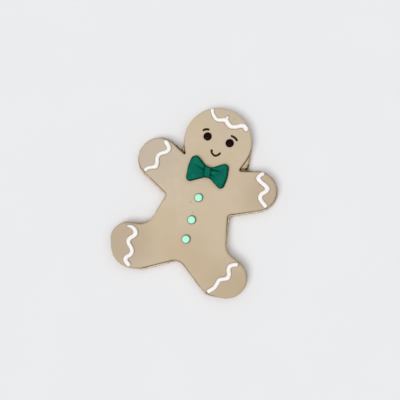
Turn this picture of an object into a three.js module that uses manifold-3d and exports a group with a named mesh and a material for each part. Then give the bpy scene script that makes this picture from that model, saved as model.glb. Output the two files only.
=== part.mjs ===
// A gingerbread man biscuit, iced: a thick cut biscuit, a rolled sugar-paste sheet of the same
// outline on its top, a moulded bow tie, three buttons, two eyes, drawn brows and smile, and
// piped zigzags on the head, hands and feet. Millimetres. It lies on its back with the iced
// side up: +Y runs from the feet to the head, +Z up, and the underside is at z = 0.

import * as THREE from "three";
import { mergeVertices } from "three/addons/utils/BufferGeometryUtils.js";
import Module from "manifold-3d";

const wasm = await Module();
wasm.setup();

// ---------------------------------------------------------------- driving dimensions

const BISCUIT_THICKNESS = 6.6;
const SHEET_THICKNESS = 2.8;
const SHEET_TOP = BISCUIT_THICKNESS + SHEET_THICKNESS;
const ARC_STEP = 15; // degrees of arc between two points of an outline

const OUT = 1; // the arc bulges outwards
const IN = -1; // the arc cuts into the body

// The sheet's edge, anticlockwise from the head: tangent lines join one arc to the next.
// The two sides differ a little, as a biscuit cut and moved by hand does.
const SHEET_ARCS = {
  head: { x: 0.5, y: 43.1, r: 22.4, turn: OUT },
  neckLeft: { x: -18.3, y: 29.1, r: 0.6, turn: IN },
  handLeft: { x: -33.7, y: 21, r: 13.4, turn: OUT },
  armpitLeft: { x: -24.3, y: -1.8, r: 2.9, turn: IN },
  waistLeft: { x: -35.2, y: -14.7, r: 10, turn: IN },
  toeLeft: { x: -38.2, y: -36.2, r: 10.4, turn: OUT },
  soleLeft: { x: -32.1, y: -38.5, r: 15.5, turn: OUT },
  heelLeft: { x: -26, y: -44.5, r: 8.3, turn: OUT },
  crotch: { x: -1.1, y: -47.3, r: 7.7, turn: IN },
  heelRight: { x: 24.8, y: -47, r: 7.4, turn: OUT },
  footRight: { x: 32.6, y: -41.1, r: 12.9, turn: OUT },
  waistRight: { x: 35.1, y: -17.6, r: 9.9, turn: IN },
  armpitRight: { x: 23.9, y: -2.9, r: 2.5, turn: IN },
  handRight: { x: 34.8, y: 19, r: 12.7, turn: OUT },
  neckRight: { x: 20.8, y: 29.4, r: 1.2, turn: IN },
};

// How far the baked edge reaches past the sheet at each arc: dough spreads unevenly.
const BISCUIT_SPREADS = {
  head: 0.6,
  handLeft: 1.4,
  armpitLeft: 1.5,
  waistLeft: 0.9,
  toeLeft: 0.6,
  soleLeft: 0.9,
  heelLeft: 1.2,
  crotch: 1.6,
  heelRight: 1.4,
  footRight: 0.7,
  waistRight: 0.6,
  armpitRight: 1.5,
  handRight: 1.2,
};

// In the oven the dough closes most of the two neck notches.
const BAKED_NECKS = {
  neckLeft: { x: -21.8, y: 32.4, r: 0.8, turn: IN },
  neckRight: { x: 26.9, y: 32.8, r: 1.8, turn: IN },
};

// Profiles up the edge: height, and how far the outline is drawn in from its widest.
const BISCUIT_PROFILE = [
  { z: 0, inset: 0.9 },
  { z: 0.4, inset: 0.3 },
  { z: 1.6, inset: 0 },
  { z: 3.2, inset: 0.05 },
  { z: 4.8, inset: 0.3 },
  { z: 6, inset: 0.7 },
  { z: BISCUIT_THICKNESS, inset: 1.1 },
];
const SHEET_PROFILE = [
  { z: BISCUIT_THICKNESS, inset: 0.6 },
  { z: BISCUIT_THICKNESS + 0.5, inset: 0.1 },
  { z: BISCUIT_THICKNESS + 1.6, inset: 0 },
  { z: SHEET_TOP - 0.5, inset: 0.3 },
  { z: SHEET_TOP - 0.1, inset: 0.9 },
  { z: SHEET_TOP, inset: 1.6 },
];

// The bow tie's edge, anticlockwise from the top right corner.
const BOW_ARCS = {
  cornerTopRight: { x: 10.1, y: 26.7, r: 3, turn: OUT },
  waistTop: { x: 0.3, y: 29.6, r: 4.8, turn: IN },
  cornerTopLeft: { x: -9.5, y: 26.2, r: 3.4, turn: OUT },
  sideLeft: { x: 1.8, y: 22.2, r: 15, turn: OUT },
  cornerBottomLeft: { x: -9.8, y: 14.7, r: 2.6, turn: OUT },
  waistBottom: { x: 1.4, y: 12.1, r: 5.5, turn: IN },
  cornerBottomRight: { x: 10.9, y: 15.8, r: 2.6, turn: OUT },
  sideRight: { x: -1, y: 20.6, r: 14.9, turn: OUT },
};
const BOW = {
  middle: 0.3, // the knot's middle
  shoulder: 9, // how far from it a wing is highest
  height: 3.9,
  pinchHeight: 2.9,
  endDrop: 0.45, // share of its height that a wing loses by its outer edge
  folds: 3,
  foldDepth: 0.28,
  edgeFullness: 0.7, // below 1, the section's sides stand steeper
  crownFullness: 0.6, // below 1, its top is flatter
};
const KNOT = { half: 2.3, height: 4.2, rib: 1.53, ribDepth: 0.35 };
// Stations along the bow, as shares of the knot's half length and of a wing's length.
const KNOT_STATIONS = [0, 0.25, 0.5, 0.75, 0.97];
const WING_STATIONS = [0.03, 0.13, 0.27, 0.42, 0.57, 0.7, 0.81, 0.9, 0.955, 0.985];
const BUTTON = { radius: 2.9, height: 1.9 };
const BUTTON_PLACES = { top: [-0.3, 3.6], middle: [-0.3, -11.6], bottom: [0, -24.7] };
const EYE = { radius: 2.75, height: 1.5 };
const EYE_PLACES = { left: [-6.9, 44], right: [8.4, 43.9] };
const DRAWN_LINE = { width: 1.5, height: 0.3, step: 0.9 };
const PIPED_LINE = { width: 2.5, height: 1.5, step: 1.5 };
const HEAD_PEAK_LINE = { width: 1.9, height: 1.3, step: 1 };
const LINE_END_REACH = 0.4; // how much of its width a line takes to round off at an end
const LINE_END_STATIONS = [0, 0.3]; // shares of that reach
const DOME_FOOT = { height: 0.25, radius: 0.92 }; // shares of a dome's height and radius
const BEAD_SIDES = 6;
const DOME_STEPS = 4;
const DOME_SIDES = 20;
const BOW_SIDES = 12;

const BROWS = {
  left: [[-11.2, 46.4], [-9.7, 48.1], [-6.9, 48.8]],
  right: [[7.3, 49], [10.6, 48.3], [13, 46.6]],
};
const SMILE = [[-1.8, 36.7], [-0.9, 34.4], [1.4, 33.2], [3.2, 34.1], [4.7, 36.3]];

const HEAD_ZIGZAG = [
  [-9.7, 62.6], [-8.2, 59.9], [-6.5, 57.9], [-4.3, 56.5], [-1.9, 56.8], [0.3, 57.6], [2, 57.4],
  [3.5, 56], [5.6, 54.8], [7.7, 54.9], [12, 57], [13.9, 57.4], [15.6, 56.2], [16.7, 54.4],
];
const HEAD_PEAK = [[1, 57.2], [1.8, 59.1], [2, 61]];
const ZIGZAGS = {
  hand_left: [
    [-33.3, 33.2], [-30.3, 30.9], [-28.8, 28.9], [-29.7, 26.4], [-32.1, 24.8], [-34.1, 22.8],
    [-34.4, 20.4], [-33.6, 17.7], [-33.7, 15], [-35.8, 13.8], [-38.1, 12.6], [-40.2, 10],
  ],
  hand_right: [
    [36.1, 31.4], [33.9, 29.7], [33.1, 27.2], [35.5, 25.3], [38.9, 23.9], [40.8, 22.2],
    [39.8, 19.8], [38.1, 17.9], [37.8, 15.7], [39.4, 13.5], [41.5, 12.1], [43.6, 10.4],
  ],
  foot_left: [
    [-40, -28.3], [-37.8, -27.8], [-35.6, -28.1], [-33.8, -29.2], [-32.9, -30.9], [-33.4, -32.8],
    [-35, -34.6], [-35.9, -36.6], [-35.4, -38.4], [-32.2, -41.4], [-31.4, -43.4], [-31.9, -45.4],
    [-33.6, -47.3], [-33.9, -49.3], [-32.6, -50.8], [-30.2, -52.3],
  ],
  foot_right: [
    [37.3, -30], [34, -31.4], [32.3, -33], [32.2, -35.3], [33.3, -37.7], [33.1, -40.4],
    [31, -41.8], [28.6, -43.2], [27.8, -46], [27, -48.7], [25.2, -51], [23.2, -53],
  ],
};

// ---------------------------------------------------------------- materials

function finish(colour, roughness) {
  return new THREE.MeshStandardMaterial({ color: colour, roughness, metalness: 0 });
}

const BAKED_DOUGH = finish(0xb08f62, 0.9);
const TAN_PASTE = finish(0xcdbca4, 0.75);
const GREEN_PASTE = finish(0x0e6a56, 0.6);
const MINT_SUGAR = finish(0xaff8d8, 0.45);
const BLACK_ICING = finish(0x1a1314, 0.35);
const BROWN_INK = finish(0x3f2a17, 0.8);
const WHITE_ICING = finish(0xf6f0e8, 0.5);

// ---------------------------------------------------------------- building blocks

// The direction across the line that touches two arcs, pointing to the body's inside.
function inwardNormal(from, to) {
  const step = new THREE.Vector2(to.x - from.x, to.y - from.y);
  const distance = step.length();
  const along = (to.turn * to.r - from.turn * from.r) / distance;
  const across = Math.sqrt(1 - along * along);
  step.normalize();
  return new THREE.Vector2(along * step.x - across * step.y, along * step.y + across * step.x);
}

// Points round the arcs, drawn in by inset. Every inset gives the same number of points.
function outlinePoints(arcs, inset) {
  const points = [];
  arcs.forEach((arc, index) => {
    const before = arcs[(index + arcs.length - 1) % arcs.length];
    const after = arcs[(index + 1) % arcs.length];
    const start = inwardNormal(before, arc).angle();
    const end = inwardNormal(arc, after).angle();
    const fullTurn = 2 * Math.PI;
    const swept = arc.turn * ((((end - start) * arc.turn) % fullTurn + fullTurn) % fullTurn);
    const count = Math.max(1, Math.ceil(Math.abs(swept) / THREE.MathUtils.degToRad(ARC_STEP)));
    const reach = arc.turn * arc.r - inset;
    for (let i = 0; i <= count; i += 1) {
      const angle = start + (swept * i) / count;
      points.push([arc.x - reach * Math.cos(angle), arc.y - reach * Math.sin(angle)]);
    }
  });
  return points;
}

// A closed solid through rings of equal length. Each ring is listed anticlockwise as seen from
// the last ring; firstFlat and lastFlat give the end rings' points in that same view.
function loft(rings, firstFlat, lastFlat) {
  const count = rings[0].length;
  const faces = [];
  for (let level = 0; level + 1 < rings.length; level += 1) {
    for (let i = 0; i < count; i += 1) {
      const a = level * count + i;
      const b = level * count + ((i + 1) % count);
      faces.push(a, b, b + count, a, b + count, a + count);
    }
  }
  const toVectors = (flat) => flat.map(([x, y]) => new THREE.Vector2(x, y));
  THREE.ShapeUtils.triangulateShape(toVectors(firstFlat), []).forEach(([a, b, c]) => {
    faces.push(c, b, a);
  });
  const last = (rings.length - 1) * count;
  THREE.ShapeUtils.triangulateShape(toVectors(lastFlat), []).forEach(([a, b, c]) => {
    faces.push(last + a, last + b, last + c);
  });
  const geometry = new THREE.BufferGeometry();
  geometry.setAttribute("position", new THREE.Float32BufferAttribute(rings.flat(2), 3));
  geometry.setIndex(faces);
  geometry.computeVertexNormals();
  return geometry;
}

// A slab with the given outline arcs and edge profile.
function slab(arcs, profile) {
  const rings = profile.map(({ z, inset }) => (
    outlinePoints(Object.values(arcs), inset).map(([x, y]) => [x, y, z])
  ));
  return loft(rings, rings[0], rings[rings.length - 1]);
}

// How much of its full size a line of icing has, this far from its nearer end.
function endTaper(distance, reach) {
  const short = Math.max(0, 1 - distance / reach);
  return 0.5 + 0.5 * Math.sqrt(1 - short * short);
}

// A line laid along places on the sheet: flat below, round above, soft at both ends.
function bead(places, { width, height, step }) {
  const onSheet = places.map(([x, y]) => new THREE.Vector3(x, y, SHEET_TOP));
  const curve = new THREE.CatmullRomCurve3(onSheet, false, "centripetal");
  const length = curve.getLength();
  const endReach = LINE_END_REACH * width;
  const firstEnd = LINE_END_STATIONS.map((share) => share * endReach);
  const lastEnd = firstEnd.map((station) => length - station).reverse();
  const middle = length - 2 * endReach;
  const middleSteps = Math.ceil(middle / step);
  const stations = [...firstEnd];
  for (let i = 0; i <= middleSteps; i += 1) {
    stations.push(endReach + (middle * i) / middleSteps);
  }
  stations.push(...lastEnd);
  const section = [];
  for (let i = 0; i <= BEAD_SIDES; i += 1) {
    const angle = (Math.PI * i) / BEAD_SIDES;
    section.push([Math.cos(angle), Math.sin(angle)]);
  }
  const rings = stations.map((station) => {
    const place = curve.getPointAt(station / length);
    const ahead = curve.getTangentAt(station / length);
    const size = endTaper(Math.min(station, length - station), endReach);
    return section.map(([left, up]) => {
      const aside = 0.5 * width * size * left;
      return [place.x - aside * ahead.y, place.y + aside * ahead.x, place.z + height * size * up];
    });
  });
  return loft(rings, section, section);
}

// A low dome on a straight foot, standing on the sheet.
function dome({ radius, height }, [x, y]) {
  const foot = DOME_FOOT.height * height;
  const profile = [new THREE.Vector2(0, 0), new THREE.Vector2(DOME_FOOT.radius * radius, 0)];
  for (let i = 0; i < DOME_STEPS; i += 1) {
    const angle = (0.5 * Math.PI * i) / DOME_STEPS;
    const up = foot + (height - foot) * Math.sin(angle);
    profile.push(new THREE.Vector2(radius * Math.cos(angle), up));
  }
  profile.push(new THREE.Vector2(0, height));
  const geometry = new THREE.LatheGeometry(profile, DOME_SIDES);
  geometry.rotateX(Math.PI / 2);
  return geometry.translate(x, y, SHEET_TOP);
}

// ---------------------------------------------------------------- bow tie

// The lowest and highest y of a closed outline at this x.
function span(edge, x) {
  const crossings = [];
  edge.forEach(([x0, y0], index) => {
    const [x1, y1] = edge[(index + 1) % edge.length];
    if (x0 > x !== x1 > x) {
      crossings.push(y0 + ((x - x0) / (x1 - x0)) * (y1 - y0));
    }
  });
  return [Math.min(...crossings), Math.max(...crossings)];
}

// The bow's height along its middle: a ribbed knot, a pinch beside it, then a swelling wing.
function bowCrest(away, reach) {
  if (away <= KNOT.half) {
    return KNOT.height - KNOT.ribDepth * (0.5 - 0.5 * Math.cos((2 * Math.PI * away) / KNOT.rib));
  }
  const swell = THREE.MathUtils.smoothstep(away, KNOT.half, BOW.shoulder);
  const past = Math.max(0, away - BOW.shoulder) / (reach - BOW.shoulder);
  const full = BOW.pinchHeight + (BOW.height - BOW.pinchHeight) * swell;
  return full * (1 - BOW.endDrop * past * past);
}

// The folds fan out from the knot and fade towards the wing's edge.
function bowFold(away, across, reach) {
  if (away <= KNOT.half) return 1;
  const fade = 1 - (away - KNOT.half) / (reach - KNOT.half);
  return 1 - BOW.foldDepth * fade * (0.5 + 0.5 * Math.cos(BOW.folds * Math.PI * across));
}

// A wing's stations, going out from the knot on one side.
function wingStations(reach) {
  return WING_STATIONS.map((share) => KNOT.half + share * (reach - KNOT.half));
}

function bow() {
  const edge = outlinePoints(Object.values(BOW_ARCS), 0);
  const reachLeft = BOW.middle - Math.min(...edge.map(([x]) => x));
  const reachRight = Math.max(...edge.map(([x]) => x)) - BOW.middle;
  const knot = KNOT_STATIONS.map((share) => share * KNOT.half);
  const left = [...knot.slice(1), ...wingStations(reachLeft)].map((away) => -away).reverse();
  const right = [...knot, ...wingStations(reachRight)];
  const section = [];
  for (let i = 0; i <= BOW_SIDES; i += 1) {
    const angle = (Math.PI * i) / BOW_SIDES;
    const side = Math.sign(Math.cos(angle));
    const across = side * Math.abs(Math.cos(angle)) ** BOW.edgeFullness;
    section.push([across, Math.sin(angle) ** BOW.crownFullness]);
  }
  const rings = [...left, ...right].map((along) => {
    const away = Math.abs(along);
    const reach = along < 0 ? reachLeft : reachRight;
    const [low, high] = span(edge, BOW.middle + along);
    const crest = bowCrest(away, reach);
    return section.map(([across, up]) => {
      const y = 0.5 * (low + high) + 0.5 * (high - low) * across;
      return [BOW.middle + along, y, SHEET_TOP + crest * bowFold(away, across, reach) * up];
    });
  });
  return loft(rings, section, section);
}

// ---------------------------------------------------------------- joining

function toManifold(geometry) {
  const welded = geometry.clone();
  welded.deleteAttribute("normal");
  const merged = mergeVertices(welded);
  return new wasm.Manifold(new wasm.Mesh({
    numProp: 3,
    vertProperties: new Float32Array(merged.attributes.position.array),
    triVerts: new Uint32Array(merged.index.array),
  }));
}

function joined(first, second) {
  const mesh = toManifold(first).add(toManifold(second)).getMesh();
  const geometry = new THREE.BufferGeometry();
  geometry.setAttribute("position", new THREE.BufferAttribute(mesh.vertProperties, 3));
  geometry.setIndex(new THREE.BufferAttribute(mesh.triVerts, 1));
  geometry.computeVertexNormals();
  return geometry;
}

// ---------------------------------------------------------------- assembly

const figure = new THREE.Group();

function addPiece(name, geometry, material) {
  const mesh = new THREE.Mesh(geometry, material);
  mesh.name = name;
  figure.add(mesh);
}

const bakedArcs = {};
Object.entries(SHEET_ARCS).forEach(([name, arc]) => {
  bakedArcs[name] = BAKED_NECKS[name] ?? { ...arc, r: arc.r + arc.turn * BISCUIT_SPREADS[name] };
});

addPiece("biscuit", slab(bakedArcs, BISCUIT_PROFILE), BAKED_DOUGH);
addPiece("fondant", slab(SHEET_ARCS, SHEET_PROFILE), TAN_PASTE);
addPiece("bow_tie", bow(), GREEN_PASTE);
Object.entries(BUTTON_PLACES).forEach(([place, centre]) => {
  addPiece(`button_${place}`, dome(BUTTON, centre), MINT_SUGAR);
});
Object.entries(EYE_PLACES).forEach(([side, centre]) => {
  addPiece(`eye_${side}`, dome(EYE, centre), BLACK_ICING);
});
Object.entries(BROWS).forEach(([side, places]) => {
  addPiece(`brow_${side}`, bead(places, DRAWN_LINE), BROWN_INK);
});
addPiece("smile", bead(SMILE, DRAWN_LINE), BROWN_INK);
const scallops = bead(HEAD_ZIGZAG, PIPED_LINE);
const peak = bead(HEAD_PEAK, HEAD_PEAK_LINE);
addPiece("icing_head", joined(scallops, peak), WHITE_ICING);
Object.entries(ZIGZAGS).forEach(([limb, places]) => {
  addPiece(`icing_${limb}`, bead(places, PIPED_LINE), WHITE_ICING);
});

// The origin is under the middle of the biscuit, on the surface that it lies on.
const middle = new THREE.Box3().setFromObject(figure).getCenter(new THREE.Vector3());
figure.position.set(-middle.x, -middle.y, 0);

const gingerbreadMan = new THREE.Group();
gingerbreadMan.add(figure);

export default gingerbreadMan;
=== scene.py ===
# A gingerbread man biscuit, iced: the looks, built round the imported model.
# Shapes are worked out in millimetres in the figure's own coordinates, as in the CAD source,
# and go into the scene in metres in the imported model's frame.

import math

import bpy
import numpy as np
from mathutils import Matrix, Vector, noise
from mathutils.geometry import delaunay_2d_cdt


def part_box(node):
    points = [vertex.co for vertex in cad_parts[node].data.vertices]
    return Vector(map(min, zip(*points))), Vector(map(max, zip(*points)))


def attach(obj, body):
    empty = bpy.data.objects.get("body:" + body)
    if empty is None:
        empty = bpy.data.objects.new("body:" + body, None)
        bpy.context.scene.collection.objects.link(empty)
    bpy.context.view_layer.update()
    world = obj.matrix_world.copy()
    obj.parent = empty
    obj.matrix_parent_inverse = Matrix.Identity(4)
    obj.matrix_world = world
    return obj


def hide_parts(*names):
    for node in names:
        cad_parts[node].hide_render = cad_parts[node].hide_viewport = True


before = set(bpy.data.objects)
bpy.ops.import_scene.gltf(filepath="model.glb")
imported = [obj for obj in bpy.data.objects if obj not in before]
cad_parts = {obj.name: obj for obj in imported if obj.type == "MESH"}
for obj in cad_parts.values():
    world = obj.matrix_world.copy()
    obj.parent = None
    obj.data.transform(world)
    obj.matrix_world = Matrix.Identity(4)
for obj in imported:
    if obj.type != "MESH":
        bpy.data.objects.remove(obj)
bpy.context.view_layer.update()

MM = 0.001

# ---------------------------------------------------------------- driving dimensions, mm

OUT = 1  # the arc bulges outwards
IN = -1  # the arc cuts into the body

# The sheet's edge, anticlockwise from the head, as (x, y, radius, turn): tangent lines join
# one arc to the next.
SHEET_ARCS = {
    "head": (0.5, 43.1, 22.4, OUT),
    "neck_left": (-18.3, 29.1, 0.6, IN),
    "hand_left": (-33.7, 21, 13.4, OUT),
    "armpit_left": (-24.3, -1.8, 2.9, IN),
    "waist_left": (-35.2, -14.7, 10, IN),
    "toe_left": (-38.2, -36.2, 10.4, OUT),
    "sole_left": (-32.1, -38.5, 15.2, OUT),
    "heel_left": (-26, -44.5, 7.8, OUT),
    "crotch": (-1.1, -47.3, 7.7, IN),
    "heel_right": (24.8, -47, 7.4, OUT),
    "foot_right": (32.6, -41.1, 12.9, OUT),
    "waist_right": (35.1, -17.6, 9.9, IN),
    "armpit_right": (23.9, -2.9, 2.5, IN),
    "hand_right": (34.8, 19, 12.7, OUT),
    "neck_right": (20.8, 29.4, 1.2, IN),
}
# How far the baked edge reaches past the sheet at each arc: dough spreads unevenly.
BISCUIT_SPREADS = {
    "head": 0.6,
    "hand_left": 1.4,
    "armpit_left": 1.5,
    "waist_left": 0.9,
    "toe_left": 0.6,
    "sole_left": 1.2,
    "heel_left": 1.7,
    "crotch": 1.6,
    "heel_right": 1.4,
    "foot_right": 0.7,
    "waist_right": 0.6,
    "armpit_right": 1.5,
    "hand_right": 1.2,
}
# In the oven the dough closes most of the two neck notches.
BAKED_NECKS = {
    "neck_left": (-21.8, 32.4, 0.8, IN),
    "neck_right": (26.9, 32.8, 1.8, IN),
}
BISCUIT_EDGE_STEP = 0.45
SHEET_EDGE_STEP = 0.6
BOW_EDGE_STEP = 0.3

# The bow tie's edge, anticlockwise from the top right corner.
BOW_ARCS = {
    "corner_top_right": (10.1, 26.7, 3, OUT),
    "waist_top": (0.3, 29.6, 4.8, IN),
    "corner_top_left": (-9.5, 26.2, 3.4, OUT),
    "side_left": (1.8, 22.2, 15, OUT),
    "corner_bottom_left": (-9.8, 14.7, 2.6, OUT),
    "waist_bottom": (1.4, 12.1, 5.5, IN),
    "corner_bottom_right": (10.9, 15.8, 2.6, OUT),
    "side_right": (-1, 20.6, 14.9, OUT),
}
BOW_MIDDLE = (0.3, 21.0)
BOW_REACH = 13.4
KNOT_HALF = 2.1
KNOT_SLANT = 0.17  # how far the knot leans left for each mm up
KNOT_HEIGHT = 4.1
WING_HEIGHT = 3.7
PINCH_HEIGHT = 2.5
WING_CREST = 0.62  # share of the reach at which a wing is highest
WING_DROOP = 0.16
WING_ROUND = 2.0  # how far in from the edge the bow's top starts to fall away
KNOT_ROUND = 1.2
RIB_HEIGHT = 0.14
RIB_STEP = 1.45
BOW_TOP_STEP = 0.27
# Height above the sheet, and how far the bow's side is drawn in.
BOW_SIDE = [(-0.1, 0.5), (0.25, 0.18), (0.6, 0.03)]

# Folds that run out from the knot, measured from its middle: where each starts and ends,
# its depth and its half width.
BOW_FOLDS = [
    ((-2.3, 0.9), (-11, 3.2), 0.85, 0.95),
    ((-2.2, -1), (-4.6, -1.6), 0.7, 0.4),
    ((-2.2, -2.6), (-3.8, -3.6), 0.5, 0.4),
    ((-2.3, 2.4), (-5, 4.8), 0.3, 0.4),
    ((1.7, 2.3), (8.5, 2.9), 1.3, 0.6),
    ((2.1, -0.8), (5.6, -1.1), 1.0, 0.45),
    ((2.3, -2.7), (5.4, -4.5), 0.35, 0.45),
    ((4.5, -1.4), (10.5, -4.6), 0.3, 0.7),
]
PINCH_DEPTH = 0.45  # the crease where each wing tucks into the knot
PINCH_WIDTH = 0.45

# The painted shade round the rims of the bow and the buttons is widest on this side, away from the
# key light.
SHADED_WAY = np.array([0.75, 0.66])

# Piped and drawn lines: x, y and width at each place.
BROWS = {
    "left": [(-11.2, 46.6, 1.5), (-9.7, 48.1, 1.7), (-6.9, 48.8, 1.5)],
    "right": [(7.5, 49, 1.5), (10.6, 48.3, 1.7), (12.9, 46.7, 1.5)],
}
SMILE = [(-1.8, 36.6, 1.9), (-0.9, 34.4, 1.5), (1.4, 33.2, 1.6), (3.2, 34.1, 1.6), (4.7, 36.2, 1.5)]
DRAWN_HEIGHT = 0.22
HEAD_ZIGZAG = [
    (-9.7, 62.8, 2.2), (-8.2, 59.9, 1.9), (-6.5, 57.9, 2.2), (-4.3, 56.5, 2.2),
    (-1.9, 56.8, 2.2), (0.3, 57.6, 2.5), (2, 57.4, 2.8), (3.5, 56, 2.8), (5.6, 54.8, 2.7),
    (7.7, 54.9, 2.5), (9.9, 55.8, 2.5), (12, 57, 2.7), (13.9, 57.4, 2.7), (15.6, 56.2, 2.8),
    (16.7, 54.4, 2.8),
]
HEAD_PEAK = [(1, 57.2, 2.6), (1.8, 59.1, 2), (2, 61, 0.9)]
ZIGZAGS = {
    "icing_hand_left": [
        (-33.3, 33.2, 2.5), (-30.3, 30.9, 2.6), (-28.8, 28.9, 2.6), (-29.7, 26.4, 2.4),
        (-32.1, 24.8, 2.3), (-34.1, 22.8, 2.4), (-34.4, 20.4, 2.4), (-33.6, 17.7, 2.6),
        (-33.7, 15, 2.8), (-35.8, 13.8, 2.2), (-38.1, 12.6, 2.2), (-40.2, 10, 2.4),
    ],
    "icing_hand_right": [
        (36.1, 31.4, 2.1), (33.9, 29.7, 2.4), (33.1, 27.2, 2.7), (35.5, 25.3, 2.6),
        (38.9, 23.9, 2.6), (40.8, 22.2, 2.9), (39.8, 19.8, 2.6), (38.1, 17.9, 2.6),
        (37.8, 15.7, 2.6), (39.4, 13.5, 2.5), (41.5, 12.1, 2.4), (43.6, 10.4, 2.6),
    ],
    "icing_foot_left": [
        (-40, -28.3, 0.7), (-37.8, -27.8, 1.4), (-35.6, -28.1, 2.3), (-33.8, -29.2, 2.8),
        (-32.9, -30.9, 3.0), (-33.4, -32.8, 2.8), (-35, -34.6, 2.6), (-35.9, -36.6, 2.7),
        (-35.4, -38.4, 2.5), (-33.9, -39.8, 2.4), (-32.2, -41.4, 2.4), (-31.4, -43.4, 2.6),
        (-31.9, -45.4, 2.6), (-33.6, -47.3, 2.6), (-33.9, -49.3, 2.7), (-32.4, -50.9, 2.6),
        (-29.7, -52.4, 2.6),
    ],
    "icing_foot_right": [
        (37.3, -30, 2.4), (34, -31.4, 2.4), (32.3, -33, 2.5), (32.2, -35.3, 2.5),
        (33.3, -37.7, 2.6), (33.1, -40.4, 2.7), (31, -41.8, 2.4), (28.6, -43.2, 2.4),
        (27.8, -46, 2.4), (27, -48.7, 2.4), (25.2, -51, 2.5), (23.2, -53, 2.5),
    ],
}
PIPED_HEIGHT = 0.56  # share of a line's width
PIPED_SINK = 0.2
PIPED_VOXEL = 0.22
PIPED_MELT = 0.15  # what melting the strand's skin takes off each side
PIPED_TUCK = 35  # degrees that a strand's sides turn in under its widest place
PIPED_STEP = 0.3
ICING_SHADE_STEP = 0.5
DRAWN_STEP = 0.2
DRAWN_SINK = 0.08
CURVE_STEPS = 24

# ---------------------------------------------------------------- outlines


def inward_normal(start, end):
    """The direction across the line that touches two arcs, pointing to the body's inside."""
    step = np.array([end[0] - start[0], end[1] - start[1]])
    distance = np.hypot(*step)
    along = (end[3] * end[2] - start[3] * start[2]) / distance
    across = math.sqrt(1 - along * along)
    step = step / distance
    return np.array([along * step[0] - across * step[1], along * step[1] + across * step[0]])


def outline(arcs, spacing):
    """Points round the arcs and their tangent lines, evenly spaced, and the inward normals."""
    arcs = list(arcs.values())
    points = []
    normals = []
    for index, (x, y, radius, turn) in enumerate(arcs):
        arc = arcs[index]
        before = arcs[index - 1]
        after = arcs[(index + 1) % len(arcs)]
        first = inward_normal(before, arc)
        last = inward_normal(arc, after)
        start = math.atan2(first[1], first[0])
        end = math.atan2(last[1], last[0])
        swept = turn * (((end - start) * turn) % (2 * math.pi))
        count = max(4, round(abs(swept) * radius / spacing))
        for angle in start + swept * np.arange(count) / count:
            normal = np.array([math.cos(angle), math.sin(angle)])
            points.append((x, y) - turn * radius * normal)
            normals.append(normal)
        leave = (x, y) - turn * radius * last
        reach = (after[0], after[1]) - after[3] * after[2] * last
        count = max(1, round(np.hypot(*(reach - leave)) / spacing))
        for share in np.arange(count) / count:
            points.append(leave + share * (reach - leave))
            normals.append(last)
    return np.array(points), np.array(normals)


def noise_at(points, size, seed, octaves=1):
    """Smooth noise, about -1 to 1, with features of this size in mm."""
    shift = Vector((13.7 * seed, 7.1 * seed, 3.3 * seed))
    return np.array([
        noise.fractal(Vector(point) / size + shift, 1.0, 2.0, octaves) for point in points
    ])


def deep(points, z=0.0):
    """2-D points as 3-D points at height z."""
    return np.column_stack([points, np.full(len(points), z) if np.isscalar(z) else z])


def distance_to(points, edge):
    """Distance from each point to the nearest point of an edge."""
    found = np.empty(len(points))
    for i in range(0, len(points), 2000):
        gap = points[i:i + 2000, None, :2] - edge[None, :, :2]
        found[i:i + 2000] = np.sqrt((gap ** 2).sum(2).min(1))
    return found


def inside(points, edge):
    """Which points lie inside a closed edge."""
    odd = np.zeros(len(points), bool)
    x = points[:, 0]
    y = points[:, 1]
    for (x0, y0), (x1, y1) in zip(edge[:, :2], np.roll(edge[:, :2], -1, 0)):
        crosses = (y0 > y) != (y1 > y)
        if y0 != y1:
            odd ^= crosses & (x < (x1 - x0) * (y - y0) / (y1 - y0) + x0)
    return odd


# ---------------------------------------------------------------- meshes


def cap(ring, step, height):
    """Triangles over a ring, with new points every step. Returns the new points and faces."""
    flat = ring[:, :2]
    extra = np.empty((0, 2))
    if step:
        low = flat.min(0)
        high = flat.max(0)
        columns = np.arange(low[0], high[0], step)
        rows = np.arange(low[1], high[1], step * math.sqrt(0.75))
        grid = np.array([
            (x + 0.5 * step * (row % 2), y) for row, y in enumerate(rows) for x in columns
        ])
        grid = grid[inside(grid, flat)]
        extra = grid[distance_to(grid, flat) > 0.6 * step]
    every = np.vstack([flat, extra])
    coords = [Vector(point) for point in every]
    made = delaunay_2d_cdt(coords, [], [list(range(len(flat)))], 1, 1e-6)
    source = [origin[0] for origin in made[3]]
    faces = [[source[i] for i in face] for face in made[2]]
    return deep(extra, height(extra)) if len(extra) else np.empty((0, 3)), faces


def tube_faces(levels, count):
    """Faces between rings of count points each, one after the other."""
    faces = []
    for level in range(levels - 1):
        for i in range(count):
            a = level * count + i
            b = level * count + (i + 1) % count
            faces.append((a, b, b + count, a + count))
    return faces


def solid(rings, under=(0, None), over=(0, None)):
    """A closed shape through rings listed anticlockwise from the bottom up, capped at both ends.
    under and over are a grid step and a height function for the caps."""
    count = len(rings[0])
    points = list(rings)
    faces = tube_faces(len(rings), count)
    total = count * len(rings)
    for ring, first, (step, height), flip in (
        (rings[0], 0, under, True),
        (rings[-1], total - count, over, False),
    ):
        extra, triangles = cap(ring, step, height)
        points.append(extra)
        for triangle in triangles:
            if flip:
                triangle = triangle[::-1]
            faces.append([first + i if i < count else total + i - count for i in triangle])
        total += len(extra)
    return np.vstack(points), faces


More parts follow.
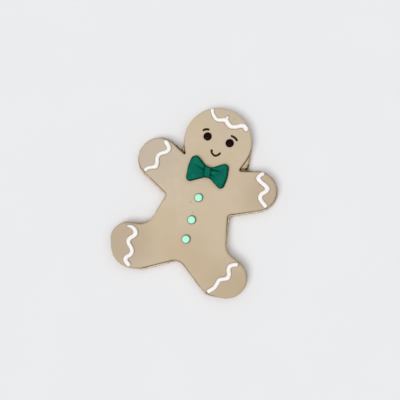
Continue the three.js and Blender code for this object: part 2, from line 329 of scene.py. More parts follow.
def add_piece(name, points, faces, material, nodes, attributes=()):
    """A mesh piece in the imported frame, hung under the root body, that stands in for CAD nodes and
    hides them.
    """
    mesh = bpy.data.meshes.new(name)
    mesh.from_pydata((points + SHIFT) * MM, [], faces)
    for attribute, values in attributes:
        layer = mesh.attributes.new(attribute, "FLOAT", "POINT")
        layer.data.foreach_set("value", np.asarray(values, np.float32))
    mesh.polygons.foreach_set("use_smooth", [True] * len(mesh.polygons))
    mesh.materials.append(material)
    mesh.validate()
    piece = bpy.data.objects.new(name, mesh)
    bpy.context.scene.collection.objects.link(piece)
    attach(piece, "root")
    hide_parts(*nodes)
    return piece


def fused(piece, voxel, smoothing):
    """Melts a piece's overlapping turns into one skin, as soft icing does."""
    melt = piece.modifiers.new("melt", "REMESH")
    melt.mode = "VOXEL"
    melt.voxel_size = voxel * MM
    settle = piece.modifiers.new("settle", "SMOOTH")
    settle.factor = 0.5
    settle.iterations = smoothing
    graph = bpy.context.evaluated_depsgraph_get()
    mesh = bpy.data.meshes.new_from_object(piece.evaluated_get(graph))
    piece.modifiers.clear()
    piece.data = mesh
    mesh.polygons.foreach_set("use_smooth", [True] * len(mesh.polygons))


# ---------------------------------------------------------------- materials


def srgb(red, green, blue):
    """A colour from screen values, 0 to 255, as the renderer's linear colour."""
    channels = []
    for value in (red, green, blue):
        share = value / 255
        channels.append(share / 12.92 if share <= 0.04045 else ((share + 0.055) / 1.055) ** 2.4)
    return (*channels, 1.0)


class Look:
    """A material and short calls for the nodes that make it. Sizes are in mm."""

    def __init__(self, name, **settings):
        self.material = bpy.data.materials.new(name)
        self.material.use_nodes = True
        self.nodes = self.material.node_tree.nodes
        self.shader = self.nodes["Principled BSDF"]
        for label, value in settings.items():
            self.shader.inputs[label.replace("_", " ")].default_value = value
        self.place = self.nodes.new("ShaderNodeTexCoord").outputs["Object"]

    def link(self, source, target):
        self.material.node_tree.links.new(source, target)

    def noise(self, size, detail=2.0, roughness=0.5):
        node = self.nodes.new("ShaderNodeTexNoise")
        node.inputs["Scale"].default_value = 1 / (size * MM)
        node.inputs["Detail"].default_value = detail
        node.inputs["Roughness"].default_value = roughness
        self.link(self.place, node.inputs["Vector"])
        return node.outputs[0]

    def attribute(self, name):
        node = self.nodes.new("ShaderNodeAttribute")
        node.attribute_name = name
        return node.outputs["Fac"]

    def height(self):
        node = self.nodes.new("ShaderNodeSeparateXYZ")
        self.link(self.place, node.inputs[0])
        return node.outputs["Z"]

    def ranged(self, source, low, high, to_low=0.0, to_high=1.0):
        """The source carried from low..high to to_low..to_high, with soft ends."""
        node = self.nodes.new("ShaderNodeMapRange")
        node.interpolation_type = "SMOOTHSTEP"
        node.inputs["From Min"].default_value = low
        node.inputs["From Max"].default_value = high
        node.inputs["To Min"].default_value = to_low
        node.inputs["To Max"].default_value = to_high
        self.link(source, node.inputs["Value"])
        return node.outputs["Result"]

    def maths(self, operation, first, second):
        node = self.nodes.new("ShaderNodeMath")
        node.operation = operation
        for socket, value in zip(node.inputs, (first, second)):
            if isinstance(value, (int, float)):
                socket.default_value = value
            else:
                self.link(value, socket)
        return node.outputs[0]

    def mix(self, factor, first, second):
        """The first colour where factor is 0, the second where it is 1."""
        node = self.nodes.new("ShaderNodeMix")
        node.data_type = "RGBA"
        for socket, value in zip((node.inputs[0], node.inputs[6], node.inputs[7]),
                                 (factor, first, second)):
            if isinstance(value, (int, float, tuple)):
                socket.default_value = value
            else:
                self.link(value, socket)
        return node.outputs[2]

    def near(self, x, y, radius, softness):
        """1 within radius mm of a place on the figure, fading out over softness."""
        node = self.nodes.new("ShaderNodeVectorMath")
        node.operation = "DISTANCE"
        flat = self.nodes.new("ShaderNodeVectorMath")
        flat.operation = "MULTIPLY"
        flat.inputs[1].default_value = (1, 1, 0)
        self.link(self.place, flat.inputs[0])
        self.link(flat.outputs["Vector"], node.inputs[0])
        node.inputs[1].default_value = ((x + SHIFT[0]) * MM, (y + SHIFT[1]) * MM, 0)
        return self.ranged(node.outputs["Value"], radius * MM, (radius + softness) * MM, 1, 0)

    def bump(self, layers, distance):
        """Fine relief: the sum of (source, weight) layers, at most distance mm high."""
        total = None
        for source, weight in layers:
            scaled = self.maths("MULTIPLY", source, weight)
            total = scaled if total is None else self.maths("ADD", total, scaled)
        node = self.nodes.new("ShaderNodeBump")
        node.inputs["Strength"].default_value = 1.0
        node.inputs["Distance"].default_value = distance * MM
        self.link(total, node.inputs["Height"])
        self.link(node.outputs["Normal"], self.shader.inputs["Normal"])

    def colour(self, source):
        self.link(source, self.shader.inputs["Base Color"])

    def roughness(self, source):
        self.link(source, self.shader.inputs["Roughness"])


def sugar_paste_tan():
    """Smooth paste: slow drift, mottling, painted shade where the light falls off towards the ends,
    pits, painted contact shade beside the icing, and painted shade at the side's foot.
    """
    look = Look("tan_paste", Specular_IOR_Level=0.25)
    drift = look.ranged(look.noise(20, 2), 0.35, 0.65)
    tone = look.mix(drift, srgb(209, 191, 168), srgb(204, 187, 158))
    mottle = look.ranged(look.noise(3.5, 4, 0.6), 0.35, 0.75)
    tone = look.mix(mottle, tone, srgb(205, 187, 161))
    grain = look.ranged(look.noise(0.5, 3), 0.62, 0.8, 0, 0.35)
    tone = look.mix(grain, tone, srgb(192, 170, 141))
    for x, y, weight, tint in PASTE_FALLOFF_SHADES:
        # painted shade where the light falls off towards the ends and the legs
        end_falloff_shade = look.maths("MULTIPLY", look.near(x, y, TINT_RADIUS, TINT_FADE), weight)
        tone = look.mix(end_falloff_shade, tone, srgb(*tint))
    for x, y, radius in PASTE_PITS:
        pit = look.near(x, y, 0.4 * radius, 0.8 * radius)
        tone = look.mix(pit, tone, srgb(162, 130, 98))
    # painted contact shade on the sheet right beside the piped lines
    icing_contact_shade = look.ranged(look.attribute("icing"), 0.8, 0.1, 0, 0.78)
    tone = look.mix(icing_contact_shade, tone, srgb(146, 126, 108))
    # painted shade along the foot of the sheet's side, in the crease over the biscuit
    foot_start, foot_full = ((SHEET_BOTTOM + rise) * MM for rise in SHEET_FOOT_SHADE)
    foot = look.ranged(look.height(), foot_start, foot_full, 0, 0.85)
    tone = look.mix(foot, tone, srgb(114, 98, 69))
    look.colour(tone)
    look.roughness(look.ranged(look.noise(5, 3), 0.3, 0.7, 0.5, 0.66))
    look.bump([(look.noise(0.9, 3), 0.6), (look.noise(0.25, 2), 0.4)], 0.06)
    return look.material


def baked_dough():
    """Crust: grainy and blotched, browned low down, paler at the rim, with painted bounce light on
    the rim below the arms and between the legs, and painted shade in the pores, in the crease under
    the sheet and in the neck notches.
    """
    look = Look("baked_dough", Specular_IOR_Level=0.2)
    height = look.height()
    blotch = look.noise(6, 4, 0.6)
    grain = look.noise(0.8, 5, 0.65)
    tone = look.mix(look.ranged(grain, 0.3, 0.7), srgb(190, 158, 114), srgb(216, 190, 148))
    blotched = look.ranged(blotch, 0.45, 0.72, 0, 0.5)
    tone = look.mix(blotched, tone, srgb(176, 146, 104))
    wobble = look.maths("MULTIPLY", look.maths("SUBTRACT", blotch, 0.5), BAKE_WOBBLE * MM)
    level = look.maths("ADD", height, wobble)
    browned = look.ranged(level, 2.4 * MM, 0.4 * MM, 0, 0.75)
    tone = look.mix(browned, tone, srgb(156, 116, 70))
    # painted bounce light on the rim below the arms and between the legs
    bounce_light = 0.0
    for x, y, radius in BOUNCE_LIT_RIMS:
        bounce_light = look.maths("MAXIMUM", look.near(x, y, radius, RIM_FADE), bounce_light)
    rim = look.mix(bounce_light, srgb(202, 185, 156), srgb(244, 232, 211))
    lifted = look.maths("ADD", level, look.maths("MULTIPLY", bounce_light, BOUNCE_LIFT * MM))
    tone = look.mix(look.ranged(lifted, 4 * MM, 5.6 * MM, 0, 0.85), tone, rim)
    flat = look.ranged(look.noise(8, 4, 0.62), 0.36, 0.64)
    under = look.mix(flat, srgb(206, 165, 112), srgb(180, 131, 80))
    tone = look.mix(look.ranged(height, 0.5 * MM, 0.1 * MM), tone, under)
    # painted shade in the sunk pores, cracks and underside pits
    sunk_shade = look.ranged(look.attribute("relief"), -0.06, -0.24, 0, 0.7)
    tone = look.mix(sunk_shade, tone, srgb(150, 106, 60))
    specks = look.ranged(look.noise(0.45, 3, 0.6), 0.6, 0.72, 0, 0.4)
    tone = look.mix(specks, tone, srgb(154, 114, 68))
    # painted shade in the crease where the biscuit meets the sheet's edge
    crease_shade = look.ranged(look.attribute("cover"), 0.82, 0.42, 0, 0.9)
    tone = look.mix(crease_shade, tone, srgb(92, 75, 47))
    # painted shade in the neck notches, darkest at a few spots
    notch_shade = look.maths("ADD", look.attribute("notch_shade"), look.maths("MULTIPLY", grain, 0.5))
    tone = look.mix(look.ranged(notch_shade, 0.4, 1.2, 0, 0.85), tone, srgb(108, 84, 46))
    upper = look.ranged(height, 3 * MM, 4.2 * MM)
    for x, y, radius in NOTCH_DARK_SPOTS:
        dark_spot = look.maths("MULTIPLY", look.near(x, y, 0.5 * radius, 0.9 * radius), upper)
        tone = look.mix(dark_spot, tone, srgb(40, 26, 10))
    look.colour(tone)
    look.roughness(look.ranged(grain, 0.3, 0.7, 0.75, 0.92))
    look.bump([(grain, 0.6), (look.noise(0.3, 3), 0.4)], 0.3)
    return look.material


def sugar_paste_green():
    """The bow's paste: mottled, with painted shade in the folds and round the rim, greyer on the
    knot.
    """
    look = Look("green_paste", Specular_IOR_Level=0.06)
    mottle = look.ranged(look.noise(3.6, 3), 0.36, 0.64)
    tone = look.mix(mottle, srgb(2, 100, 85), srgb(0, 118, 88))
    grain = look.ranged(look.noise(0.6, 3), 0.4, 0.8, 0, 0.4)
    tone = look.mix(grain, tone, srgb(0, 94, 78))
    # painted shade in the folds
    fold = look.ranged(look.attribute("fold"), 0.1, 0.9, 0, 0.85)
    tone = look.mix(fold, tone, srgb(0, 56, 50))
    knot = look.ranged(look.attribute("knot"), 0, 0.5, 0, 0.75)
    tone = look.mix(knot, tone, srgb(14, 103, 90))
    # painted shade round the rim, widest on the side away from the key light
    rim = look.ranged(look.attribute("rim"), 1.2, 0.35, 0, 0.9)
    tone = look.mix(rim, tone, srgb(0, 48, 34))
    look.colour(tone)
    look.roughness(look.ranged(look.noise(1.5, 3), 0.3, 0.7, 0.5, 0.68))
    look.bump([(look.noise(0.5, 3), 0.5), (look.noise(0.2, 2), 0.5)], 0.08)
    return look.material


def sugar_mint():
    """The buttons' set sugar, slightly see-through, with painted shade round the rim."""
    look = Look("mint_sugar", Specular_IOR_Level=0.45, Subsurface_Weight=0.1)
    look.shader.inputs["Subsurface Radius"].default_value = (0.4, 1.0, 0.7)
    look.shader.inputs["Subsurface Scale"].default_value = 1.2 * MM
    mottle = look.ranged(look.noise(1.6, 3), 0.3, 0.7)
    tone = look.mix(mottle, srgb(178, 254, 219), srgb(193, 255, 232))
    grain = look.ranged(look.noise(0.35, 2), 0.5, 0.8, 0, 0.5)
    tone = look.mix(grain, tone, srgb(166, 246, 210))
    # painted shade round the rim, widest on the side away from the key light
    rim = look.ranged(look.attribute("rim"), 0.85, 0.3, 0, 0.9)
    tone = look.mix(rim, tone, srgb(80, 112, 80))
    look.colour(tone)
    look.roughness(look.ranged(look.noise(0.8, 2), 0.3, 0.7, 0.38, 0.52))
    look.bump([(look.noise(0.5, 2), 1.0)], 0.05)
    return look.material


def icing_black():
    """The eyes' near-black icing."""
    look = Look("black_icing", Specular_IOR_Level=0.06)
    mottle = look.ranged(look.noise(0.8, 3), 0.3, 0.7)
    look.colour(look.mix(mottle, srgb(14, 0, 1), srgb(24, 4, 6)))
    look.roughness(look.ranged(look.noise(0.6, 2), 0.3, 0.7, 0.32, 0.45))
    look.bump([(look.noise(0.6, 2), 1.0)], 0.05)
    return look.material


def drawn_brown():
    """The drawn lines' edible ink."""
    look = Look("brown_ink", Specular_IOR_Level=0.12)
    mottle = look.ranged(look.noise(0.7, 3), 0.35, 0.7)
    look.colour(look.mix(mottle, srgb(38, 22, 8), srgb(62, 42, 22)))
    look.roughness(look.ranged(look.noise(0.5, 2), 0.3, 0.7, 0.6, 0.8))
    look.bump([(look.noise(0.3, 2), 1.0)], 0.04)
    return look.material


def icing_white():
    """Piped icing, a little see-through."""
    look = Look("white_icing", Specular_IOR_Level=0.45, Subsurface_Weight=0.12)
    look.shader.inputs["Subsurface Radius"].default_value = (1.0, 0.8, 0.6)
    look.shader.inputs["Subsurface Scale"].default_value = 0.9 * MM
    mottle = look.ranged(look.noise(2.5, 3), 0.3, 0.7)
    tone = look.mix(mottle, srgb(250, 244, 241), srgb(255, 252, 250))
    grain = look.ranged(look.noise(0.5, 2), 0.6, 0.8, 0, 0.4)
    tone = look.mix(grain, tone, srgb(240, 232, 226))
    look.colour(tone)
    look.roughness(look.ranged(look.noise(1.2, 3), 0.3, 0.7, 0.36, 0.5))
    look.bump([(look.noise(0.7, 2), 0.7), (look.noise(0.25, 2), 0.3)], 0.05)
    return look.material


# ---------------------------------------------------------------- the frame in millimetres

BAKED_ARCS = {
    name: BAKED_NECKS.get(name, (x, y, radius + turn * BISCUIT_SPREADS.get(name, 0), turn))
    for name, (x, y, radius, turn) in SHEET_ARCS.items()
}
baked_edge, baked_inward = outline(BAKED_ARCS, BISCUIT_EDGE_STEP)
sheet_edge, sheet_inward = outline(SHEET_ARCS, SHEET_EDGE_STEP)

biscuit_low, biscuit_high = (np.array(corner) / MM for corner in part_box("biscuit"))
sheet_low, sheet_high = (np.array(corner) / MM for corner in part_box("fondant"))
figure_middle = (baked_edge.min(0) + baked_edge.max(0)) / 2
SHIFT = np.array([*((biscuit_low + biscuit_high)[:2] / 2 - figure_middle), 0.0])
BISCUIT_TOP = biscuit_high[2]
SHEET_BOTTOM = sheet_low[2]
SHEET_TOP = sheet_high[2]

# Painted shade: the sheet is a little darker towards its ends and the legs, where the light falls
# off: places, weights and colours.
PASTE_FALLOFF_SHADES = [
    (4, 66, 0.6, (192, 177, 155)),
    (4, -38, 1, (199, 179, 150)),
    (-20, -30, 0.7, (202, 182, 152)),
    (-38, 22, 0.6, (192, 179, 165)),
    (44, 20, 0.75, (184, 165, 140)),
    (-39, -40, 0.7, (182, 163, 140)),
    (37, -46, 0.7, (184, 165, 136)),
]
TINT_RADIUS = 6
TINT_FADE = 22

PASTE_PITS = [(-4.2, -0.5, 0.45), (-1.2, -6.8, 0.4), (6.9, 60.4, 0.4)]
EDGE_ROUND = 1.7  # how far in from its edge the sheet's top starts to fall away
EDGE_DROP = 1.5
EDGE_POWER = 2.3
# Height above the sheet's underside, and how far the side is drawn in.
SHEET_SIDE = [(0.0, 0.5), (0.12, 0.24), (0.35, 0.08), (0.75, 0.0), (1.1, 0.0)]
SHEET_TOP_STEP = 0.55
SHEET_FOOT_SHADE = (1.6, 0.6)  # the heights at which the painted shade at the foot of the side starts and is full
FAR = 9.0  # past this distance the icing casts no painted contact shade

# ---------------------------------------------------------------- sugar-paste sheet


def sheet_swell(points):
    """The rolled sheet's gentle unevenness."""
    slow = noise_at(deep(points), 21, 1)
    quick = noise_at(deep(points), 7, 2)
    return 0.1 * slow + 0.035 * quick - 0.06


def sheet_surface(points):
    """Height of the sheet's top over places on the figure, its rounded edge included."""
    points = np.asarray(points)[:, :2]
    depth = distance_to(points, sheet_edge)
    depth[~inside(points, sheet_edge)] = 0
    share = np.clip(1 - depth / EDGE_ROUND, 0, 1)
    drop = EDGE_DROP * (1 - (1 - share ** EDGE_POWER) ** (1 / EDGE_POWER))
    return SHEET_TOP + sheet_swell(points) - drop


def from_icing(points):
    """Distance from each point to the edge of the nearest piped line."""
    found = np.full(len(points), FAR)
    for places in (HEAD_ZIGZAG, HEAD_PEAK, *ZIGZAGS.values()):
        line, stations = smooth_line(places, ICING_SHADE_STEP)
        from_end = np.minimum(stations, stations[-1] - stations)
        for x, y, width in line[from_end > 0.4 * line[:, 2]]:
            away = np.hypot(points[:, 0] - x, points[:, 1] - y) - width / 2
            found = np.minimum(found, away)
    return found


def make_sheet():
    lean = 0.16 * noise_at(deep(sheet_edge), 9, 4) + 0.06 * noise_at(deep(sheet_edge), 3, 5)
    swell = sheet_swell(sheet_edge)
    rings = []
    for z, inset in SHEET_SIDE:
        place = sheet_edge + (inset + lean)[:, None] * sheet_inward
        rings.append(deep(place, SHEET_BOTTOM + z))
    power = 2 / EDGE_POWER
    for angle in np.radians(np.linspace(8, 90, 11)):
        inset = EDGE_ROUND * (1 - math.cos(angle) ** power)
        z = SHEET_TOP - EDGE_DROP * (1 - math.sin(angle) ** power)
        place = sheet_edge + (inset + lean)[:, None] * sheet_inward
        rings.append(deep(place, z + swell * math.sin(angle)))
    points, faces = solid(rings, over=(SHEET_TOP_STEP, lambda grid: SHEET_TOP + sheet_swell(grid)))
    attributes = [("icing", from_icing(points))]
    piece = add_piece("sugar_paste_sheet", points, faces, sugar_paste_tan(), ["fondant"], attributes)


# ---------------------------------------------------------------- biscuit

# Height above the underside, and how far the side is drawn in from its widest.
BISCUIT_SIDE = [(0, 0.9), (0.15, 0.55), (0.45, 0.25), (0.9, 0.1), (1.6, 0), (3.2, 0.05),
                (4.4, 0.22), (5.2, 0.42), (5.9, 0.7), (6.35, 1.0), (6.6, 1.5)]
BISCUIT_LEVELS = 30
# Painted shade in the tight neck notches: ends of a streak, and how far it reaches.
NOTCH_SHADES = [
    ((-25.2, 33.2), (-18.4, 29.4), 0.9),
    ((19.6, 29.6), (27.2, 31.2), 1.2),
    ((24.6, 31.6), (25.4, 34.2), 1.1),
]
# The darkest spots of the painted notch shade, as x, y and radius.
NOTCH_DARK_SPOTS = [
    (-22.4, 32.1, 0.55),
    (-20.8, 31.1, 0.6),
    (-18.6, 29.6, 0.75),
    (24.4, 34, 0.5),
    (23.8, 31.1, 0.9),
    (26, 31.2, 0.7),
    (19.9, 29.8, 0.8),
]
# Painted bounce light: the rim is palest below the arms and between the legs: places with their
# radius.
BOUNCE_LIT_RIMS = [(-31, 5, 10), (-17, -50, 9), (8, -52, 12), (34, 1, 12)]
RIM_FADE = 8
BOUNCE_LIFT = 1.1  # how much further down the side the rim's colour and painted bounce light reach there
BAKE_WOBBLE = 2.4  # how far the baked bands wander up and down
CRUMB_RELIEF = 0.3
PORE_DEPTH = 0.7
CRACK_DEPTH = 0.35
TOP_RELIEF = 0.08
SKIN_INSET = 0.08  # keeps the relief's highest places near the plain shape
RELIEF_START = 0.6  # the relief grows over this distance from the underside's edge
HIDDEN_LIP = 0.9  # how far the skin runs in under the sheet
HIDDEN_DROP = 0.06  # how far the hidden top lies below the sheet's underside
HIDDEN_STEP = 0.9
UNDERSIDE_STEP = 1.1


def crumb(points):
    """How far the baked skin stands out from its plain shape: grain, pores and cracks."""
    grain = noise_at(points, 1.5, 8, 4)
    pores = np.clip(noise_at(points, 0.95, 9, 2) - 0.22, 0, 1)
    ridge = np.abs(noise_at(points * [1, 1, 0.4], 3.4, 14, 2))
    cracks = np.clip(1 - ridge / 0.07, 0, 1) * np.clip(noise_at(points, 9, 15) + 0.1, 0, 0.4)
    return CRUMB_RELIEF * grain - PORE_DEPTH * pores - CRACK_DEPTH * cracks


def notch_shading(points):
    """How deep each point lies in the painted notch shade, from 0 to 1."""
    found = np.zeros(len(points))
    for start, end, reach in NOTCH_SHADES:
        run = np.subtract(end, start)
        gap = points[:, :2] - start
        share = np.clip(gap @ run / (run @ run), 0, 1)
        away = np.hypot(*(gap - share[:, None] * run).T)
        found = np.maximum(found, np.clip(1.5 - away / reach, 0, 1))
    return found


def underside(points):
    """Shallow pits in the flat underside."""
    pores = noise_at(deep(points), 1.6, 11, 3)
    return 0.35 * np.clip(pores - 0.18, 0, 1)


def make_biscuit():
    heights = np.array([z for z, _ in BISCUIT_SIDE]) * BISCUIT_TOP / BISCUIT_SIDE[-1][0]
    insets = np.array([inset for _, inset in BISCUIT_SIDE])
    travel = np.concatenate([[0], np.cumsum(np.hypot(np.diff(heights), np.diff(insets)))])
    uneven = 0.18 * noise_at(deep(baked_edge), 11, 6)
    uneven += 0.072 * noise_at(deep(baked_edge), 3.5, 7)
    rings = []
    for station in np.linspace(0, travel[-1], BISCUIT_LEVELS):
        z = np.interp(station, travel, heights)
        inset = np.interp(station, travel, insets)
        plain = deep(baked_edge + inset * baked_inward, z)
        rough = min(1, station / RELIEF_START)
        out = (uneven + rough * crumb(plain) - SKIN_INSET)[:, None] * baked_inward
        rise = rough * TOP_RELIEF * noise_at(plain, 1.3, 10, 2) * (z > 0.3)
        rings.append(deep(plain[:, :2] - out, z + rise))
    hidden = BISCUIT_TOP - HIDDEN_DROP
    rings.append(deep(rings[-1][:, :2] + HIDDEN_LIP * baked_inward, hidden))
    under = (UNDERSIDE_STEP, underside)
    points, faces = solid(rings, under, over=(HIDDEN_STEP, lambda grid: hidden))
    # distance out from the sheet's edge, for the painted crease shade
    cover = distance_to(points, sheet_edge)
    cover[inside(points, sheet_edge)] = 0
    cover += 3 * np.clip(BISCUIT_TOP - 0.5 - points[:, 2], 0, 1)
    relief = np.where(points[:, 2] > 0.5, crumb(points), -underside(points[:, :2]))
    notch_shade = notch_shading(points) * np.clip(points[:, 2] - 2, 0, 1)
    attributes = [("cover", cover), ("relief", relief), ("notch_shade", notch_shade)]
    piece = add_piece("baked_biscuit", points, faces, baked_dough(), ["biscuit"], attributes)


# ---------------------------------------------------------------- bow tie


def bow_folds(u, v):
    """How deep the wings are folded at places measured from the knot's middle."""
    sunk_shade = np.zeros(len(u))
    for start, end, depth, half_width in BOW_FOLDS:
        run = np.subtract(end, start)
        length = np.hypot(*run)
        along = ((u - start[0]) * run[0] + (v - start[1]) * run[1]) / length
        aside = ((v - start[1]) * run[0] - (u - start[0]) * run[1]) / length
        share = np.clip(along / length, 0, 1)
        open_out = half_width * (0.7 + 0.6 * share)
        behind = np.exp(-np.clip(-along / half_width, 0, None) ** 2)
        sunk_shade += depth * np.sqrt(1 - share) * behind * np.exp(-(aside / open_out) ** 2)
    pinch = np.abs(u + KNOT_SLANT * v) - KNOT_HALF - 0.5 * PINCH_WIDTH
    return sunk_shade + PINCH_DEPTH * np.exp(-(pinch / PINCH_WIDTH) ** 2)


def bow_height(points, edge):
    """The bow's top over the sheet: two swelling wings, folds, and a ribbed knot."""
    u = points[:, 0] - BOW_MIDDLE[0]
    v = points[:, 1] - BOW_MIDDLE[1]
    away = np.abs(u)
    rise = np.clip((away - KNOT_HALF) / (WING_CREST * BOW_REACH - KNOT_HALF), 0, 1)
    rise = rise * rise * (3 - 2 * rise)
    crest = PINCH_HEIGHT + (WING_HEIGHT - PINCH_HEIGHT) * rise
    past = np.clip((away / BOW_REACH - WING_CREST) / (1 - WING_CREST), 0, 1)
    crest = crest * (1 - WING_DROOP * past ** 2)
    crest = crest - bow_folds(u, v)
    depth = distance_to(points, edge)
    round_over = np.sqrt(1 - np.clip(1 - depth / WING_ROUND, 0, 1) ** 2)
    wings = crest * (0.3 + 0.7 * round_over)
    slant = u + KNOT_SLANT * v
    knot_share = np.clip(1 - (np.abs(slant) / KNOT_HALF) ** 6, 0, 1) ** 0.3
    ribs = RIB_HEIGHT * np.cos(2 * math.pi * slant / RIB_STEP)
    knot_round = np.sqrt(1 - np.clip(1 - depth / KNOT_ROUND, 0, 1) ** 2)
    knot = (KNOT_HEIGHT + ribs - 0.1) * knot_share * (0.35 + 0.65 * knot_round)
    grain = 0.05 * noise_at(deep(points), 0.9, 12, 3) + 0.1 * noise_at(deep(points), 4, 13)
    return np.maximum(wings, knot) + grain * round_over


def make_bow():
    edge, inward = outline(BOW_ARCS, BOW_EDGE_STEP)
    base = sheet_surface(edge)
    rings = [deep(edge + inset * inward, base + up) for up, inset in BOW_SIDE]
    for inset in (0.04, 0.12, 0.25, 0.42):
        place = edge + inset * inward
        rings.append(deep(place, base + bow_height(place, edge)))

    def top(grid):
        return sheet_surface(grid) + bow_height(grid, edge)

    points, faces = solid(rings, over=(BOW_TOP_STEP, top))
    depth = distance_to(points, edge)
    from_middle = points[:, :2] - BOW_MIDDLE
    knot = np.abs(from_middle[:, 0] + KNOT_SLANT * from_middle[:, 1])
    # fold depth, which drives the painted shade in the folds
    fold = bow_folds(*from_middle.T) * (knot > KNOT_HALF - 0.2)
    # the rim's painted shade reaches further in on the side away from the key light
    shaded = SHADED_WAY @ inward[np.argmin(((points[:, None, :2] - edge) ** 2).sum(2), 1)].T
    rim = depth / (1 - 0.45 * shaded)
    attributes = [("rim", rim), ("knot", KNOT_HALF - knot), ("fold", fold)]
    piece = add_piece("bow", points, faces, sugar_paste_green(), ["bow_tie"], attributes)


# ---------------------------------------------------------------- buttons and eyes

DOME_SIDES = 56
DOME_SINK = 0.06


def make_dome(name, node, profile, material, seed):
    """A turned drop on the sheet. profile is (share of radius, share of height), going up."""
    low, high = (np.array(corner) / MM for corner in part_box(node))
    centre = ((low + high) / 2 - SHIFT)[:2]
    radius = (high[0] - low[0]) / 2
    height = high[2] - low[2]
    base = sheet_surface(centre[None])[0]
    angles = 2 * math.pi * np.arange(DOME_SIDES) / DOME_SIDES
    spokes = np.column_stack([np.cos(angles), np.sin(angles)])
    wobble = 1 + 0.03 * noise_at(deep(2.2 * spokes), 2.4, seed)
    rings = []
    for share, up in profile:
        place = centre + (radius * share * wobble)[:, None] * spokes
        lift = 0.06 * noise_at(deep(place), 1.8, seed + 1) * up
        rings.append(deep(place, base - DOME_SINK + height * up + lift))
    points, faces = solid(rings)
    gap = points[:, :2] - centre
    away = np.hypot(*gap.T)
    # the rim's painted shade reaches further in on the side away from the key light
    rim = (radius - away) / (1 + 0.4 * (gap @ SHADED_WAY) / radius)
    piece = add_piece(name, points, faces, material, [node], [("rim", rim)])


def drop_profile(flatness, foot):
    """A drop's side: a foot that tucks under, then a curve over to the top."""
    profile = [(0.9, -0.03), (0.97, 0.5 * foot), (1.0, foot)]
    for angle in np.radians(np.arange(7.5, 88, 7.5)):
        share = math.cos(angle) ** (1 / flatness)
        profile.append((share, foot + (1 - foot) * math.sin(angle) ** (1 / flatness)))
    profile.append((0.04, 1.0))
    return profile


# ---------------------------------------------------------------- piped and drawn lines


def smooth_line(places, spacing):
    """Even stations along a centripetal Catmull-Rom curve through (x, y, width) places."""
    places = np.array(places, float)
    places = np.vstack([2 * places[0] - places[1], places, 2 * places[-1] - places[-2]])
    knots = np.concatenate([[0], np.cumsum(np.sqrt(np.hypot(*np.diff(places[:, :2], axis=0).T)))])
    dense = []
    for i in range(1, len(places) - 2):
        p0, p1, p2, p3 = places[i - 1:i + 3]
        t0, t1, t2, t3 = knots[i - 1:i + 3]
        for t in np.linspace(t1, t2, CURVE_STEPS, endpoint=False):
            a1 = ((t1 - t) * p0 + (t - t0) * p1) / (t1 - t0)
            a2 = ((t2 - t) * p1 + (t - t1) * p2) / (t2 - t1)
            a3 = ((t3 - t) * p2 + (t - t2) * p3) / (t3 - t2)
            b1 = ((t2 - t) * a1 + (t - t0) * a2) / (t2 - t0)
            b2 = ((t3 - t) * a2 + (t - t1) * a3) / (t3 - t1)
            dense.append(((t2 - t) * b1 + (t - t1) * b2) / (t2 - t1))
    dense.append(places[-2])
    dense = np.array(dense)
    travel = np.concatenate([[0], np.cumsum(np.hypot(*np.diff(dense[:, :2], axis=0).T))])
    stations = np.linspace(0, travel[-1], max(6, round(travel[-1] / spacing) + 1))
    line = np.column_stack([np.interp(stations, travel, dense[:, k]) for k in range(3)])
    return line, stations


def bead(places, height_share, sink, spacing, seed, sides=16, height=None, tuck=0):
    """Rings round the section of a line laid on the sheet, with round ends. tuck is how far,
    in degrees, the section's sides turn in under its widest place."""
    line, stations = smooth_line(places, spacing)
    ahead = np.gradient(line[:, :2], axis=0)
    ahead /= np.hypot(*ahead.T)[:, None]
    left = np.column_stack([-ahead[:, 1], ahead[:, 0]])
    uneven = 1 + 0.06 * noise_at(deep(line[:, :2]), 2.6, seed, 2)
    half = 0.5 * line[:, 2] * uneven + PIPED_MELT * (tuck > 0)
    from_end = np.minimum(stations, stations[-1] - stations)
    short = np.clip(1 - from_end / half, 0, 1)
    size = np.sqrt(1 - short ** 2.2) * 0.96 + 0.04
    rings = []
    rise = (height if height else 2 * half * height_share) * size
    low = math.radians(tuck)
    base = sheet_surface(line) - sink
    for angle in np.linspace(-low, math.pi + low, sides):
        aside = np.cos(angle) * half * size
        place = line[:, :2] - aside[:, None] * left
        up = (math.sin(angle) + math.sin(low)) / (1 + math.sin(low))
        rings.append(deep(place, base + (rise + sink) * up))
    return np.array(rings).transpose(1, 0, 2)


def strand_mesh(strand):
    """Points and faces of a strand whose rings go round its section, closed at both ends."""
    count = len(strand[0])
    points = np.vstack(strand)
    faces = tube_faces(len(strand), count)
    last = count * (len(strand) - 1)
    faces.append(tuple(range(count))[::-1])
    faces.append(tuple(last + i for i in range(count)))
    return points, faces


def make_piping():
    material = icing_white()
    lines = {"icing_head": [HEAD_ZIGZAG, HEAD_PEAK]}
    for name, places in ZIGZAGS.items():
        lines[name] = [places]
    for seed, (node, strokes) in enumerate(lines.items()):
        points = []
        faces = []
        total = 0
        for places in strokes:
            strand = bead(
                places, PIPED_HEIGHT, PIPED_SINK, PIPED_STEP, 20 + seed, tuck=PIPED_TUCK
            )
            more, skin = strand_mesh(strand)
            points.append(more)
            faces += [tuple(total + i for i in face) for face in skin]
            total += len(more)
        name = node.replace("icing", "piping")
        piece = add_piece(name, np.vstack(points), faces, material, [node])
        fused(piece, PIPED_VOXEL, 2)


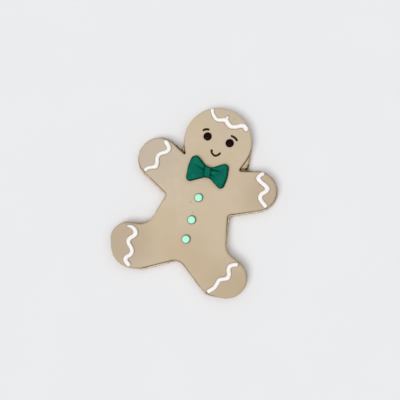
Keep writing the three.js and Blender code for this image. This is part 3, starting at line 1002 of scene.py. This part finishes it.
def make_face():
    ink = drawn_brown()
    strokes = {"brow_left": BROWS["left"], "brow_right": BROWS["right"], "smile": SMILE}
    for seed, (node, places) in enumerate(strokes.items()):
        strand = bead(
            places, 0, DRAWN_SINK, DRAWN_STEP, 40 + seed, sides=9, height=DRAWN_HEIGHT
        )
        points, faces = strand_mesh(strand)
        piece = add_piece(f"{node}_line", points, faces, ink, [node])
    black = icing_black()
    for seed, side in enumerate(("left", "right")):
        make_dome(f"eye_{side}_drop", f"eye_{side}", drop_profile(1.25, 0.2), black,
                  50 + seed)


def make_buttons():
    mint = sugar_mint()
    for seed, place in enumerate(("top", "middle", "bottom")):
        make_dome(f"button_{place}_drop", f"button_{place}", drop_profile(1.45, 0.22), mint,
                  60 + seed)


# ---------------------------------------------------------------- stage

FLOOR_SIDE = 30.0
FLOOR_DROP = 0.0001  # just under the underside, so that the two faces never fight
CAMERA_PLACE = Vector((26.82, -13.49, 333.11))
CAMERA_TARGET = Vector((0.98, 2.36, 9.5))
CAMERA_LEAN = 17.5  # degrees that the figure leans clockwise in the picture
CAMERA_LENS = 44.66
KEY_HEADING = Vector((-0.46, -0.89, 0.0))
KEY_ELEVATION = 62
KEY_SPREAD = 30  # degrees across, which sets how soft the shadows are
KEY_STRENGTH = 1.4
TOP_HEADING = Vector((0.3, 0.35, 0.0))
TOP_ELEVATION = 75
TOP_SPREAD = 70
TOP_STRENGTH = 0.85
KEY_COLOUR = (1.0, 0.985, 0.96)
TOP_COLOUR = (1.0, 1.0, 1.0)
ROOM_COLOUR = (0.97, 0.985, 1.0, 1.0)
BACKDROP_COLOUR = (0.985, 0.99, 1.0, 1.0)
WORLD_LIGHT = 0.34
BACKDROP = 0.82  # how bright the room looks past the floor


def make_stage():
    mesh = bpy.data.meshes.new("floor")
    half = FLOOR_SIDE / 2
    corners = [(x * half, y * half, -FLOOR_DROP) for x, y in ((-1, -1), (1, -1), (1, 1), (-1, 1))]
    mesh.from_pydata(corners, [], [(0, 1, 2, 3)])
    look = Look("pale_floor", Specular_IOR_Level=0.2, Roughness=0.8)
    look.colour(look.mix(look.noise(60, 2), srgb(235, 236, 239), srgb(238, 239, 241)))
    mesh.materials.append(look.material)
    floor = bpy.data.objects.new("floor", mesh)
    bpy.context.scene.collection.objects.link(floor)


def add_lamp(name, heading, elevation, spread, strength, colour):
    """A distant soft lamp that shines from this heading and height in degrees."""
    lamp = bpy.data.lights.new(name, "SUN")
    lamp.angle = math.radians(spread)
    lamp.energy = strength
    lamp.color = colour
    holder = bpy.data.objects.new(name, lamp)
    angle = math.radians(elevation)
    towards = heading.normalized() * math.cos(angle) + Vector((0, 0, math.sin(angle)))
    holder.location = towards
    holder.rotation_mode = "QUATERNION"
    holder.rotation_quaternion = (-towards).to_track_quat("-Z", "Y")
    bpy.context.scene.collection.objects.link(holder)


def make_lights():
    add_lamp("key", KEY_HEADING, KEY_ELEVATION, KEY_SPREAD, KEY_STRENGTH, KEY_COLOUR)
    add_lamp("top", TOP_HEADING, TOP_ELEVATION, TOP_SPREAD, TOP_STRENGTH, TOP_COLOUR)
    world = bpy.data.worlds.new("soft_room")
    world.use_nodes = True
    nodes = world.node_tree.nodes
    links = world.node_tree.links
    room = nodes["Background"]
    room.inputs["Color"].default_value = ROOM_COLOUR
    room.inputs["Strength"].default_value = WORLD_LIGHT
    backdrop = nodes.new("ShaderNodeBackground")
    backdrop.inputs["Color"].default_value = BACKDROP_COLOUR
    backdrop.inputs["Strength"].default_value = BACKDROP
    ray = nodes.new("ShaderNodeLightPath")
    choice = nodes.new("ShaderNodeMixShader")
    links.new(ray.outputs["Is Camera Ray"], choice.inputs[0])
    links.new(room.outputs[0], choice.inputs[1])
    links.new(backdrop.outputs[0], choice.inputs[2])
    links.new(choice.outputs[0], nodes["World Output"].inputs["Surface"])
    scene = bpy.context.scene
    scene.world = world
    scene.view_settings.view_transform = "Standard"


def make_camera():
    camera = bpy.data.cameras.new("camera")
    camera.sensor_width = 36
    camera.lens = CAMERA_LENS
    camera.clip_start = 0.01
    camera.clip_end = 10
    holder = bpy.data.objects.new("camera", camera)
    lean = math.radians(CAMERA_LEAN)
    place = (CAMERA_PLACE + Vector(SHIFT)) * MM
    ahead = (CAMERA_TARGET - CAMERA_PLACE).normalized()
    right = ahead.cross(Vector((-math.sin(lean), math.cos(lean), 0))).normalized()
    up = right.cross(ahead)
    turned = Matrix((right, up, -ahead)).transposed().to_4x4()
    holder.matrix_world = Matrix.Translation(place) @ turned
    bpy.context.scene.collection.objects.link(holder)
    bpy.context.scene.camera = holder


make_camera()
make_biscuit()
make_sheet()
make_bow()
make_buttons()
make_face()
make_piping()
make_stage()
make_lights()
